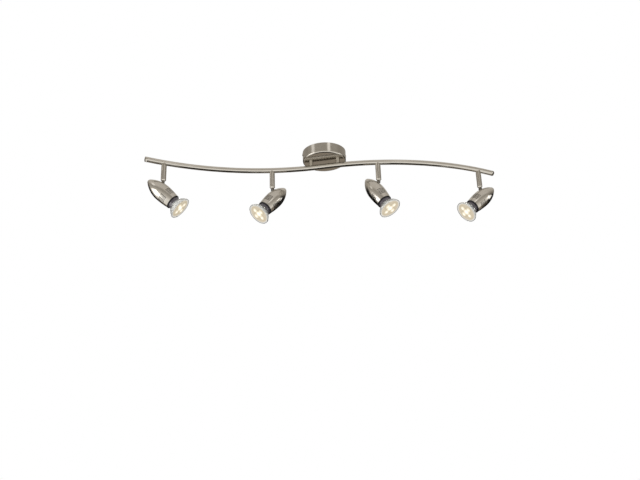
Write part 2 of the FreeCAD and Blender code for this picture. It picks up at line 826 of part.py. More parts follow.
def shade_bore_at(station):
    """Inside radius of the shade behind its widest place."""
    run = "(shade_widest - (%s))" % station
    return "(shade_radius - %s + sqrt((%s - shade_wall) ^ 2 - %s ^ 2))" % (OGIVE, OGIVE, run)


def ogive_corners(inset):
    """Half outline of the bullet, drawn in from its skin: nose, ogive, then a slight tuck."""
    nose = "(shade_nose_radius - %s)" % inset
    nose_centre = "(shade_nose_radius - shade_rear)"
    leg = "(%s - shade_nose_radius)" % OGIVE
    touch_radius = "%s * (%s - shade_radius) / %s" % (nose, OGIVE, leg)
    touch_height = "%s - %s * %s / %s" % (nose_centre, nose, SHADE_RUN, leg)
    return [
        ("0", "%s - %s" % (nose_centre, nose), nose),
        (touch_radius, touch_height, "%s - %s" % (OGIVE, inset)),
        ("shade_radius - " + inset, "shade_widest", "%s - %s" % (MOUTH_CURVE, inset)),
        ("shade_mouth_radius - " + inset, "shade_front"),
        ("0", "shade_front"),
    ]


def shade():
    skin = turned("shade_skin", ogive_corners("0"))
    inner = ogive_corners("shade_wall")
    hollowed(skin, "shade_inside", inner)
    slot_half = "(tongue_width / 2 + turn_gap + ear_sheet + free_gap)"
    pass_through = box(
        "shade_radius", "2 * " + slot_half, "2 * (pivot_eye_radius + free_gap)",
        ("-head_offset - shade_nose_radius", "-" + slot_half, "-pivot_eye_radius - free_gap"),
    )
    wedges = []
    for group in range(VENT_GROUPS):
        heading = 360.0 / VENT_GROUPS * (group + 0.5)
        for number in range(VENTS_PER_GROUP):
            wedge = cylinder("shade_radius * 1.2", "vent_slot",
                             ("0", "0", "vent_first + %d * vent_pitch" % number), sweep="vent_angle")
            wedge.Placement.Rotation = FreeCAD.Rotation(Vec(0, 0, 1), heading - value("vent_angle") / 2)
            wedges.append(wedge)
    return cut(skin, [pass_through, gather(wedges)])


def mouth_collar():
    """Insulating ring pressed into the shade's mouth."""
    skirt = "(shade_mouth_radius - shade_wall - fixed_gap)"
    return turned("collar_ring", [
        ("collar_inner_radius", "shade_front - collar_insert"),
        (skirt, "shade_front - collar_insert"),
        (skirt, "shade_front"),
        ("collar_lip_radius", "shade_front"),
        ("collar_lip_radius", "shade_front + collar_lip"),
        ("collar_inner_radius", "shade_front + collar_lip"),
    ])


def lampholder():
    """Ceramic twist-lock holder: two sector slots for the lamp's pins, two studs behind."""
    body = cylinder("holder_radius", "holder_length", ("0", "0", HOLDER_BACK))
    studs = []
    for side in (-1, 1):
        studs.append(cylinder("holder_stud_radius", "disc_sheet + 1",
                              ("0", "%d * holder_radius * 0.7" % side, "disc_place - 1")))
    depth = "(pin_length + free_gap * 2)"
    inner = "(pin_spacing / 2 - pin_head_radius - free_gap)"
    outer = "(pin_spacing / 2 + pin_head_radius + free_gap)"
    pin_half = "(asin((pin_head_radius + free_gap) / (pin_spacing / 2)) / 1deg)"
    slots = []
    for side in (0, 180):
        sector = cylinder(outer, depth, ("0", "0", "%s - %s" % (HOLDER_FACE, depth)),
                          sweep="lamp_twist + 2 * " + pin_half)
        sector.Placement.Rotation = FreeCAD.Rotation(Vec(0, 0, 1), side - value(pin_half))
        core = cylinder(inner, depth + " + 2", ("0", "0", "%s - %s - 1" % (HOLDER_FACE, depth)))
        slots.append(cut(sector, [core]))
    return cut(fuse([body] + studs), slots)


def lamp_body():
    """Dark driver housing of the lamp with its two headed pins."""
    neck_start = "lamp_back + lamp_base_length"
    taper = "(lamp_neck_radius - lamp_base_radius)"
    housing = turned("lamp_housing", [
        ("0", "lamp_back"),
        ("lamp_base_radius", "lamp_back"),
        ("lamp_base_radius", neck_start),
        ("lamp_neck_radius", "%s + %s" % (neck_start, taper)),
        ("lamp_neck_radius", "lamp_glass_start"),
        ("0", "lamp_glass_start"),
    ])
    pins = []
    for side in (-1, 1):
        across = "%d * pin_spacing / 2" % side
        pins.append(cylinder("pin_radius", "pin_length", (across, "0", "lamp_back - pin_length")))
        pins.append(cylinder("pin_head_radius", "pin_head_depth",
                             (across, "0", "lamp_back - pin_length")))
    return fuse([housing] + pins)


def lamp_glass():
    """Flared glass bowl with a short straight rim."""
    rim_start = "(lamp_face - lamp_rim_depth)"
    return turned("glass_bowl", [
        ("0", "lamp_glass_start"),
        ("lamp_neck_radius", "lamp_glass_start", "lamp_glass_curve"),
        ("lamp_radius", rim_start),
        ("lamp_radius", "lamp_face"),
        ("lamp_radius - lamp_glass_wall", "lamp_face"),
        ("lamp_radius - lamp_glass_wall", rim_start, "-lamp_glass_curve"),
        ("lamp_neck_radius - lamp_glass_wall", "lamp_glass_start + lamp_glass_wall"),
        ("0", "lamp_glass_start + lamp_glass_wall"),
    ])


def lamp_lens():
    """Moulded front lens on a post, with a dome over each light source."""
    back = "(lamp_face - lens_recess - lens_depth)"
    disc = cylinder("lamp_radius - lamp_glass_wall - fixed_gap", "lens_depth", ("0", "0", back))
    dome_curve = "((lens_dome_radius ^ 2 + lens_dome_height ^ 2) / (2 * lens_dome_height))"
    post = cylinder("lamp_neck_radius * 0.6", "%s - lamp_glass_start - lamp_glass_wall" % back,
                    ("0", "0", "lamp_glass_start + lamp_glass_wall"))
    pieces = [disc, post]
    face = "lamp_face - lens_recess"
    for number in range(LENS_DOMES):
        heading = 360.0 / LENS_DOMES * number
        ball = doc.addObject("Part::Sphere", "dome")
        bind(ball, "Radius", dome_curve)
        at(ball, (
            "lens_dome_ring * cos(%s)" % heading,
            "lens_dome_ring * sin(%s)" % heading,
            "%s + lens_dome_height - %s" % (face, dome_curve),
        ))
        keep = cylinder("lamp_radius - lamp_glass_wall * 2", "lens_dome_height * 2",
                        ("0", "0", face + " - lens_depth / 2"))
        pieces.append(common(ball, keep))
    return fuse(pieces)


# ------------------------------------------------------------------------ the assembly
def stem_placement(number):
    """On the bar's middle line over spot number, turned with its head."""
    centre = on_bar(SPOTS[number - 1]).Base
    return FreeCAD.Placement(centre, FreeCAD.Rotation(Vec(0, 0, 1), value("turn_%d" % number)))


def head_placement(number):
    """At the foot of the stem: Z along the lamp, the pivot at X = -head_offset."""
    pivot = FreeCAD.Placement(Vec(0, 0, -value("pivot_drop")), FreeCAD.Rotation())
    tilt = FreeCAD.Rotation(Vec(0, 1, 0), 90 + value("tilt_%d" % number))
    tilted = FreeCAD.Placement(Vec(0, 0, 0), tilt)
    shifted = FreeCAD.Placement(Vec(value("head_offset"), 0, 0), FreeCAD.Rotation())
    return stem_placement(number) * pivot * tilted * shifted


rod = s_rod(BAR_R)
canopy_cup()
ceiling_strap()
canopy_screws()
earth_screw()
terminal_block()
terminal_clamps()
terminal_screws()
terminal_block_screws()
posts(rod)
post_fixings()
bar_tube(rod)
end_caps()
saddles(rod)
stem_nipples()
bar_nuts()
wiring()

STEM_PIECES = {"stem_tube": stem_tube(), "knuckle": knuckle()}
HEAD_PIECES = {
    "pivot_screw": pivot_screw(),
    "holder_bracket": holder_bracket(),
    "shade": shade(),
    "mouth_collar": mouth_collar(),
    "lampholder": lampholder(),
    "lamp_body": lamp_body(),
    "lamp_glass": lamp_glass(),
    "lamp_lens": lamp_lens(),
}
for number in range(1, len(SPOTS) + 1):
    for name, piece in STEM_PIECES.items():
        node("%s_%d" % (name, number), [piece], stem_placement(number))
    for name, piece in HEAD_PIECES.items():
        node("%s_%d" % (name, number), [piece], head_placement(number))

doc.recompute()

# ---------------------------------------------------------------------- check and write
failed = [thing.Name for thing in doc.Objects if {"Invalid", "Error"} & set(thing.State)]
if failed:
    raise RuntimeError("not built: " + ", ".join(failed))
for name, finished in nodes.items():
    if finished.Shape.isNull() or not finished.Shape.isValid() or not finished.Shape.Solids:
        raise RuntimeError(name + " has no valid solid")

os.makedirs("parts", exist_ok=True)
for name, finished in nodes.items():
    finished.Shape.exportStep("parts/%s.step" % name)
print(len(nodes), "sub-parts written")
for number in range(1, len(SPOTS) + 1):
    pivot = head_placement(number).multVec(Vec(-value("head_offset"), 0, 0))
    print("spot", number, "pivot", [round(part, 3) for part in pivot])
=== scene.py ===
"""Ceiling spotlight bar in satin nickel with four lit reflector lamps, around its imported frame.

Lengths of the pieces are millimetres, turned into metres where a mesh is finished.
"""
import json
import math
import bmesh
import bpy
from mathutils import Matrix, Vector


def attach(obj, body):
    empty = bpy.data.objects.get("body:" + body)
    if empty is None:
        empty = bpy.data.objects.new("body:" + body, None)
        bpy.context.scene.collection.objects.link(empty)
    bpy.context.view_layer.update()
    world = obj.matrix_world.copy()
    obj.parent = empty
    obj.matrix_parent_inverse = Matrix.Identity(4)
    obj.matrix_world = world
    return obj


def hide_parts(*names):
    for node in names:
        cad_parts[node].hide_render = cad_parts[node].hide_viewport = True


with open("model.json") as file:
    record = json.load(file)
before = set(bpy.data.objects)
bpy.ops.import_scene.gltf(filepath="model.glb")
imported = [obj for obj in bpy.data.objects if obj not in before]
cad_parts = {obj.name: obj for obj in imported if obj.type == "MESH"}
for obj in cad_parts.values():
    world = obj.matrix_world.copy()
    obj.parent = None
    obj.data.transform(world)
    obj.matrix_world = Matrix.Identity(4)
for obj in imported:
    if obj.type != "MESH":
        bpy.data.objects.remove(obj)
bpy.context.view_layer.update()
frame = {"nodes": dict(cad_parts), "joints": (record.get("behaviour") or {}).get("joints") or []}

MM = 0.001
SPOTS = (1, 2, 3, 4)
JOINTS = {joint["name"]: joint for joint in frame["joints"]}

# --------------------------------------------------------------------- sizes in mm
BAR_RADIUS = 5.75
BAR_HALF_CHORD = 390.0
BAR_BOW = 36.5
BAR_WALL = 1.0
BAR_DROP = -JOINTS["swivel_1"]["pos_m"][2] / MM
CAP_FLANGE = 1.0
CAP_CROWN = 0.8
CAP_PLUG = 4.0
CAP_PLUG_GAP = 1.1
CANOPY_RADIUS = 48.0
CANOPY_HEIGHT = 24.0
CANOPY_ROUND = 3.6
CANOPY_WALL = 1.2
STEM_TOP = 7.35
STEM_FOOT = 42.0
STEM_BORE = 3.1
STEM_CHAMFER = 0.4
STEM_WALL = 0.9
KNUCKLE_BEVEL = 2.2
KNUCKLE_NOSE = 4.0
KNUCKLE_PLUG = 4.7
KNUCKLE_PLUG_RISE = 3.0
PIVOT_DROP = 47.0
EYE_RADIUS = 2.5
TONGUE_WIDTH = 3.6
EAR_THICK = 1.5
SCREW_HEAD = 2.3
SCREW_HEAD_DEPTH = 0.8
SCREW_SHANK = 1.25
SHADE_REAR = -26.5
SHADE_WIDEST = 16.5
SHADE_FRONT = 47.4
SHADE_RADIUS = 18.9
SHADE_MOUTH = 16.2
SHADE_NOSE = 6.5
SHADE_WALL = 1.0
VENT_GROUPS = 4
VENTS_PER_GROUP = 5
VENT_FIRST = 24.0
VENT_PITCH = 3.1
VENT_SLOT = 1.3
VENT_ANGLE = 56.0
EAR_SLOT_MARGIN = 1.8
EAR_SLOT_HALF = 2.8
HEAD_OFFSET = 18.8
COLLAR_LIP = 1.8
COLLAR_INSERT = 5.0
LAMP_BACK = 24.8
LAMP_NECK = 14.0
LAMP_BASE = 11.5
LAMP_BASE_LENGTH = 8.0
PIN_OFFSET = 5.0
PIN_LENGTH = 7.0
PIN_RADIUS = 1.5
PIN_HEAD = 2.5
GLASS_START = 56.0
LAMP_FACE = 71.4
LAMP_RADIUS = 25.0
GLASS_CURVE = 40.0
RIM_DEPTH = 2.4
GLASS_WALL = 1.2
LENS_RECESS = 0.9
LENS_DEPTH = 1.4
LENS_RING = 11.0
LENS_DOME = 6.4
LENS_CROWN = 1.6
LENS_DOMES = 4
FLUTES = 18


# ------------------------------------------------------------------------ materials
def colour(hex_code):
    """An sRGB hex value as linear RGBA."""
    parts = [int(hex_code[index:index + 2], 16) / 255 for index in (1, 3, 5)]
    linear = [part / 12.92 if part <= 0.04045 else ((part + 0.055) / 1.055) ** 2.4 for part in parts]
    return (*linear, 1.0)


def add(tree, kind, inputs=None, stops=(), **settings):
    """One node with its settings, its inputs (a socket is linked, a value is set) and the
    (place, hex) stops of a ramp."""
    made = tree.nodes.new(kind)
    for name, setting in settings.items():
        setattr(made, name, setting)
    for name, given in (inputs or {}).items():
        if isinstance(given, bpy.types.NodeSocket):
            tree.links.new(given, made.inputs[name])
        else:
            made.inputs[name].default_value = given
    for number, (place, hex_code) in enumerate(stops):
        points = made.color_ramp.elements
        point = points[number] if number < 2 else points.new(place)
        point.position = place
        point.color = colour(hex_code)
    return made


def material(name, metallic=0.0, roughness=0.5, **sockets):
    """A Principled material with the constants that are the same all over it."""
    made = bpy.data.materials.new(name)
    made.use_nodes = True
    shader = made.node_tree.nodes["Principled BSDF"]
    shader.inputs["Metallic"].default_value = metallic
    shader.inputs["Roughness"].default_value = roughness
    for socket, number in sockets.items():
        shader.inputs[socket.replace("_", " ")].default_value = number
    return made, made.node_tree, shader


def satin_nickel(name, tones, across, along, coordinates="UV"):
    """Nickel plate over fine-ground steel: warm grey, its highlights smeared across the
    grinding.  The real scratches are some 0.05 mm apart and are drawn coarser, so that they
    show; across and along are their spacing and their length in mm."""
    made, tree, shader = material(name, metallic=1.0)
    where = add(tree, "ShaderNodeTexCoord").outputs
    lay = add(tree, "ShaderNodeMapping", {0: where[coordinates],
                                          3: (1 / (across * MM), 1 / (along * MM), 1 / (across * MM))})
    grain = add(tree, "ShaderNodeTexNoise", {0: lay.outputs[0], "Scale": 1.0, "Detail": 3.0,
                                             "Roughness": 0.55}).outputs["Fac"]
    cloud = add(tree, "ShaderNodeTexNoise", {0: where["Object"], "Scale": 1 / (24 * MM), "Detail": 2.0})
    tone = add(tree, "ShaderNodeValToRGB", {0: grain}, ((0.25, tones[0]), (0.75, tones[1])))
    film = add(tree, "ShaderNodeValToRGB", {0: cloud.outputs["Fac"]}, ((0.3, "#eeebe6"), (0.7, "#ffffff")))
    mixed = add(tree, "ShaderNodeMix", {0: 0.5, 6: tone.outputs[0], 7: film.outputs[0]},
                data_type="RGBA", blend_type="MULTIPLY")
    rough = add(tree, "ShaderNodeMapRange", {0: grain, 1: 0.25, 2: 0.75, 3: 0.13, 4: 0.19})
    relief = add(tree, "ShaderNodeBump", {"Strength": 0.05, "Distance": 0.02 * MM, "Height": grain})
    tree.links.new(mixed.outputs[2], shader.inputs["Base Color"])
    tree.links.new(rough.outputs[0], shader.inputs["Roughness"])
    tree.links.new(relief.outputs[0], shader.inputs["Normal"])
    return made


def zinc_plate():
    """Bright zinc-plated pressed steel: bluish, with the faint spangle of the plating."""
    made, tree, shader = material("zinc_plated_steel", metallic=1.0)
    where = add(tree, "ShaderNodeTexCoord").outputs["Object"]
    spangle = add(tree, "ShaderNodeTexVoronoi", {0: where, "Scale": 1 / (2.5 * MM)}).outputs["Distance"]
    tone = add(tree, "ShaderNodeValToRGB", {0: spangle}, ((0.0, "#9ea3a8"), (1.0, "#c3c7cb")))
    rough = add(tree, "ShaderNodeMapRange", {0: spangle, 3: 0.3, 4: 0.45})
    tree.links.new(tone.outputs[0], shader.inputs["Base Color"])
    tree.links.new(rough.outputs[0], shader.inputs["Roughness"])
    return made


def grained(name, dark, light, smooth, rough, grain, **constants):
    """Moulded, fired or drawn stuff: two close tones and a roughness that follow one grain,
    whose size is in mm, with the same grain as a faint relief."""
    made, tree, shader = material(name, **constants)
    where = add(tree, "ShaderNodeTexCoord").outputs["Object"]
    speck = add(tree, "ShaderNodeTexNoise", {0: where, "Scale": 1 / (grain * MM), "Detail": 3.0})
    tone = add(tree, "ShaderNodeValToRGB", {0: speck.outputs["Fac"]}, ((0.3, dark), (0.7, light)))
    spread = add(tree, "ShaderNodeMapRange", {0: speck.outputs["Fac"], 1: 0.3, 2: 0.7, 3: smooth, 4: rough})
    relief = add(tree, "ShaderNodeBump", {"Strength": 0.12, "Distance": 0.04 * MM,
                                          "Height": speck.outputs["Fac"]})
    tree.links.new(tone.outputs[0], shader.inputs["Base Color"])
    tree.links.new(spread.outputs[0], shader.inputs["Roughness"])
    tree.links.new(relief.outputs[0], shader.inputs["Normal"])
    return made


def pressed_glass():
    """Pressed borosilicate glass: clear, slightly wavy from the mould, faintly smoked."""
    made, tree, shader = material("pressed_lamp_glass", roughness=0.06, IOR=1.47, Transmission_Weight=0.85)
    where = add(tree, "ShaderNodeTexCoord").outputs["Object"]
    waves = add(tree, "ShaderNodeTexNoise", {0: where, "Scale": 1 / (7 * MM), "Detail": 1.0}).outputs["Fac"]
    tone = add(tree, "ShaderNodeValToRGB", {0: waves}, ((0.3, "#e9ebea"), (0.7, "#fbfbf8")))
    relief = add(tree, "ShaderNodeBump", {"Strength": 0.25, "Distance": 0.3 * MM, "Height": waves})
    tree.links.new(tone.outputs[0], shader.inputs["Base Color"])
    tree.links.new(relief.outputs[0], shader.inputs["Normal"])
    return made


def lit_lens():
    """Moulded acrylic optic over four lit chips: creamy white, brightest at each dome and
    tan where the plate between them is only lit from the side."""
    made, tree, shader = material("lit_acrylic_lens", roughness=0.18, IOR=1.49, Emission_Strength=1.0)
    plan = add(tree, "ShaderNodeUVMap", uv_map="plan").outputs[0]
    folded = add(tree, "ShaderNodeVectorMath", {0: plan}, operation="ABSOLUTE").outputs[0]
    reach = LENS_RING * math.sqrt(0.5) * MM
    off_dome = add(tree, "ShaderNodeVectorMath", {0: folded, 1: (reach, reach, 0)}, operation="DISTANCE")
    ribs = add(tree, "ShaderNodeTexNoise", {0: plan, "Scale": 1 / (2.6 * MM), "Detail": 2.0}).outputs["Fac"]
    ripple = add(tree, "ShaderNodeMath", {0: ribs, 1: 4.5 * MM, 2: off_dome.outputs["Value"]},
                 operation="MULTIPLY_ADD")
    from_middle = add(tree, "ShaderNodeVectorMath", {0: plan}, operation="LENGTH").outputs["Value"]
    nearest = add(tree, "ShaderNodeMath", {0: ripple.outputs[0], 1: from_middle}, operation="MINIMUM")
    spread = add(tree, "ShaderNodeMapRange", {0: nearest.outputs[0], 1: 2.0 * MM, 2: 12.0 * MM})
    glow = add(tree, "ShaderNodeValToRGB", {0: spread.outputs[0]}, (
        (0.0, "#fffefa"), (1.0, "#bcb19c"), (0.2, "#fff9ea"), (0.42, "#e2d7be"), (0.65, "#b0a58c")))
    relief = add(tree, "ShaderNodeBump", {"Strength": 0.4, "Distance": 0.3 * MM, "Height": ribs})
    edge = add(tree, "ShaderNodeMapRange", {0: from_middle, 1: 20.6 * MM, 2: 21.8 * MM})
    shown = add(tree, "ShaderNodeMix", {0: edge.outputs[0], 6: glow.outputs[0], 7: colour("#c6c7c5")},
                data_type="RGBA")
    tree.links.new(shown.outputs[2], shader.inputs["Emission Color"])
    tree.links.new(relief.outputs[0], shader.inputs["Normal"])
    shader.inputs["Base Color"].default_value = colour("#6b6459")
    return made


# Three lays of the one finish: ground round turned parts, along tubes, and evenly on small parts.
NICKEL_TURNED = satin_nickel("satin_nickel_turned", ("#bfbbb4", "#cbc7c0"), 9.0, 0.3)
NICKEL_TUBE = satin_nickel("satin_nickel_tube", ("#bfbbb4", "#cbc7c0"), 0.3, 12.0)
NICKEL_SMALL = satin_nickel("satin_nickel_small_parts", ("#b3aea6", "#c3bfb7"), 0.4, 0.4, "Object")
# A darker copy of the small-part nickel for the hinge pins: painted shade for the shadowed notch where the
# stem meets the shade.
NICKEL_HINGE_SHADED = satin_nickel("nickel_hinge_painted_shade", ("#6f6a62", "#857f76"), 0.5, 0.5, "Object")
ZINC = zinc_plate()
# Glass-filled thermoset: near black with a dull sheen.
BLACK = grained("black_thermoset_collar", "#0a0a0b", "#151516", 0.28, 0.4, 0.6, IOR=1.5)
# Fired steatite: off-white, dry and faintly speckled.
CERAMIC = grained("steatite_ceramic", "#d6d1c5", "#ebe7dd", 0.5, 0.62, 0.8, IOR=1.55)
# Moulded nylon: milky, half matt.
NYLON = grained("moulded_white_nylon", "#dcdad2", "#eceae4", 0.42, 0.52, 0.9, IOR=1.53)
# Moulded thermoplastic driver housing: dark, purplish and glossy.
HOUSING = grained("glossy_dark_housing", "#3d393f", "#524d54", 0.12, 0.22, 3.0, IOR=1.5, Coat_Weight=0.5)
# PVC core covering: brown, soft sheen.
INSULATION = grained("pvc_core_covering", "#5a2f1c", "#6b3a24", 0.38, 0.5, 0.8, IOR=1.53)
# Drawn brass clamps: yellow metal with dull streaks.
BRASS = grained("drawn_brass", "#b08d4f", "#c8a565", 0.25, 0.42, 0.6, metallic=1.0)
# Vapour-coated aluminium on the pressed facets: silvery white, with a faint painted glow that stands in for
# the chips' light leaking through the coating.
MIRROR = grained("aluminised_reflector", "#e6e6e4", "#f8f8f6", 0.4, 0.55, 2.0, metallic=0.4,
                 Emission_Strength=0.35)
GLASS = pressed_glass()
LENS = lit_lens()


# ----------------------------------------------------------------------- mesh helpers
def arc(start, end, bend, steps):
    """Points after start up to end on an arc of radius |bend|; its centre is on the left
    of the way where bend > 0."""
    start, end = Vector(start), Vector(end)
    chord = end - start
    left = Vector((-chord.y, chord.x)).normalized()
    reach = math.sqrt(bend * bend - chord.length_squared / 4)
    centre = (start + end) / 2 + left * math.copysign(reach, bend)
    first, last = start - centre, end - centre
    turn = last.angle_signed(first)
    points = []
    for step in range(1, steps + 1):
        angle = turn * step / steps
        spun = Matrix.Rotation(angle, 2) @ first
        points.append(tuple(centre + spun))
    return points


def lathe(profile, steps=96, closed=False):
    """A mesh turned about Z from (radius, height) points; returns the bmesh, in mm."""
    bm = bmesh.new()
    line = [bm.verts.new((radius, 0, height)) for radius, height in profile]
    edges = [bm.edges.new(pair) for pair in zip(line, line[1:])]
    if closed:
        edges.append(bm.edges.new((line[-1], line[0])))
    bmesh.ops.spin(bm, geom=line + edges, cent=(0, 0, 0), axis=(0, 0, 1), angle=math.tau,
                   steps=steps, use_merge=True)
    bmesh.ops.remove_doubles(bm, verts=bm.verts, dist=1e-4)
    bmesh.ops.recalc_face_normals(bm, faces=bm.faces)
    return bm


def around_uv(bm, radius):
    """UV in metres: around the Z axis at a mean radius, and along it."""
    layer = bm.loops.layers.uv.new("around")
    for face in bm.faces:
        turns = [math.atan2(loop.vert.co.y, loop.vert.co.x) for loop in face.loops]
        wrap = max(turns) - min(turns) > math.pi
        for loop, turn in zip(face.loops, turns):
            turn += math.tau if wrap and turn < 0 else 0
            loop[layer].uv = (turn * radius * MM, loop.vert.co.z * MM)


def finish_mesh(bm, name, body, finish, place=Matrix(), sharp=35, stands_for=()):
    """Scale to metres, set in place, shade smooth but for sharp edges, and ride on a body."""
    bmesh.ops.transform(bm, matrix=place @ Matrix.Scale(MM, 4), verts=bm.verts)
    mesh = bpy.data.meshes.new(name)
    bm.to_mesh(mesh)
    bm.free()
    mesh.shade_smooth()
    mesh.set_sharp_from_angle(angle=math.radians(sharp))
    mesh.materials.append(finish)
    piece = bpy.data.objects.new(name, mesh)
    bpy.context.scene.collection.objects.link(piece)
    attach(piece, body)
    if stands_for:
        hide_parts(*stands_for)
    return piece


def modify(piece, kind, **settings):
    """One modifier with its settings."""
    made = piece.modifiers.new(kind.lower(), kind)
    for name, setting in settings.items():
        setattr(made, name, setting)
    return made


# ------------------------------------------------------------------- where heads stand
def column_matrix(x, y, z, origin):
    """A placement from its three axes and its origin."""
    made = Matrix((x, y, z)).transposed().to_4x4()
    made.translation = origin
    return made


def stem_place(spot):
    """On the bar's middle line, X the way the head faces."""
    swivel = Vector(JOINTS["swivel_%d" % spot]["pos_m"])
    hinge = Vector(JOINTS["tilt_%d" % spot]["axis"])
    up = Vector((0, 0, 1))
    return column_matrix(hinge.cross(up), hinge, up, swivel)


def head_place(spot):
    """Z along the lamp, the pivot at X = -HEAD_OFFSET."""
    twist = JOINTS["lamp_twist_%d" % spot]
    along = Vector(twist["axis"])
    across = Vector(JOINTS["tilt_%d" % spot]["axis"])
    return column_matrix(across.cross(along), across, along, Vector(twist["pos_m"]))


# ------------------------------------------------------------------------ fixed pieces
def canopy():
    """Spun drum, open above, with a rounded lower edge."""
    edge = CANOPY_RADIUS - CANOPY_ROUND
    profile = [(0, -CANOPY_HEIGHT), (edge * 0.5, -CANOPY_HEIGHT), (edge, -CANOPY_HEIGHT)]
    profile += arc(profile[-1], (CANOPY_RADIUS, CANOPY_ROUND - CANOPY_HEIGHT), CANOPY_ROUND, 10)
    profile += [(CANOPY_RADIUS, -1.0), (CANOPY_RADIUS, 0)]
    bm = lathe(profile, 160)
    around_uv(bm, CANOPY_RADIUS)
    piece = finish_mesh(bm, "canopy_shell", "fixed_bar", NICKEL_TURNED,
                        stands_for=("canopy_cup",))
    modify(piece, "SOLIDIFY", thickness=CANOPY_WALL * MM, offset=-1, use_even_offset=True)
    modify(piece, "BEVEL", width=0.25 * MM, segments=2, limit_method="ANGLE")
    modify(piece, "WEIGHTED_NORMAL", keep_sharp=True)


def bar_curve():
    """Radius and half angle of the two equal arcs of the S."""
    radius = (BAR_HALF_CHORD ** 2 / 4 + BAR_BOW ** 2) / (2 * BAR_BOW)
    return radius, math.asin(BAR_HALF_CHORD / 2 / radius)


def bar():
    """A round tube bent into two equal arcs, the left bowed back and the right forward."""
    radius, half_angle = bar_curve()
    bm = bmesh.new()
    start = Vector((-BAR_HALF_CHORD, 0, -BAR_DROP))
    heading = Matrix.Rotation(half_angle, 4, "Z") @ Matrix.Rotation(math.pi / 2, 4, "Y")
    ring = bmesh.ops.create_circle(bm, segments=40, radius=BAR_RADIUS,
                                   matrix=Matrix.Translation(start) @ heading)["verts"]
    geometry = ring + bm.edges[:]
    for side in (-1, 1):
        centre = (side * BAR_HALF_CHORD / 2, side * (radius - BAR_BOW), -BAR_DROP)
        spun = bmesh.ops.spin(bm, geom=geometry, cent=centre, axis=(0, 0, 1),
                              angle=side * 2 * half_angle, steps=72)
        geometry = spun["geom_last"]
    bmesh.ops.recalc_face_normals(bm, faces=bm.faces)
    layer = bm.loops.layers.uv.new("along")
    for face in bm.faces:
        stations = [bar_station(loop.vert.co, radius) for loop in face.loops]
        turns = [station[0] for station in stations]
        wrap = max(turns) - min(turns) > math.pi
        for loop, (turn, along) in zip(face.loops, stations):
            turn += math.tau if wrap and turn < 0 else 0
            loop[layer].uv = (turn * BAR_RADIUS * MM, along * MM)
    piece = finish_mesh(bm, "bar_skin", "fixed_bar", NICKEL_TUBE,
                        stands_for=("bar_tube",))
    modify(piece, "SOLIDIFY", thickness=BAR_WALL * MM, offset=-1)


def bar_station(point, radius):
    """Turn about the tube's middle line, and length along it."""
    side = math.copysign(1, point.x)
    centre = Vector((side * BAR_HALF_CHORD / 2, side * (radius - BAR_BOW), 0))
    flat = Vector((point.x, point.y, 0)) - centre
    turn = math.atan2(point.z + BAR_DROP, flat.length - radius)
    return turn, radius * math.atan2(flat.x, -side * flat.y) + side * BAR_HALF_CHORD / 2


def end_caps():
    """Domed plugs in both ends of the bar."""
    radius, half_angle = bar_curve()
    for side, name in ((-1, "end_cap_left"), (1, "end_cap_right")):
        crown_curve = (BAR_RADIUS ** 2 + CAP_CROWN ** 2) / (2 * CAP_CROWN)
        plug = BAR_RADIUS - CAP_PLUG_GAP
        profile = [(0, -CAP_PLUG), (plug, -CAP_PLUG), (plug, 0), (BAR_RADIUS, 0), (BAR_RADIUS, CAP_FLANGE)]
        profile += arc(profile[-1], (0, CAP_FLANGE + CAP_CROWN), crown_curve, 8)
        bm = lathe(profile, 48)
        around_uv(bm, BAR_RADIUS)
        outwards = Vector((side * math.cos(half_angle), side * math.sin(half_angle), 0))
        turn = outwards.to_track_quat("Z", "Y").to_matrix().to_4x4()
        end = Vector((side * BAR_HALF_CHORD, 0, -BAR_DROP)) * MM
        piece = finish_mesh(bm, name + "_polished", "fixed_bar", NICKEL_TURNED,
                            Matrix.Translation(end) @ turn, 30, (name,))
        modify(piece, "BEVEL", width=0.2 * MM, segments=3, limit_method="ANGLE")
        modify(piece, "WEIGHTED_NORMAL", keep_sharp=True)


# -------------------------------------------------------------------- moving pieces
def stem(spot):
    """Short tube under the bar, with the knuckle in its foot."""
    body = "stem_%d" % spot
    profile = [(STEM_BORE, -STEM_TOP), (BAR_RADIUS - STEM_CHAMFER, -STEM_TOP),
               (BAR_RADIUS, -STEM_TOP - STEM_CHAMFER), (BAR_RADIUS, -STEM_FOOT),
               (BAR_RADIUS - STEM_WALL, -STEM_FOOT)]
    bm = lathe(profile, 56)
    around_uv(bm, BAR_RADIUS)
    finish_mesh(bm, "stem_skin_%d" % spot, body, NICKEL_TUBE, stem_place(spot),
                30, ("stem_tube_%d" % spot,))
    knuckle(spot, body)


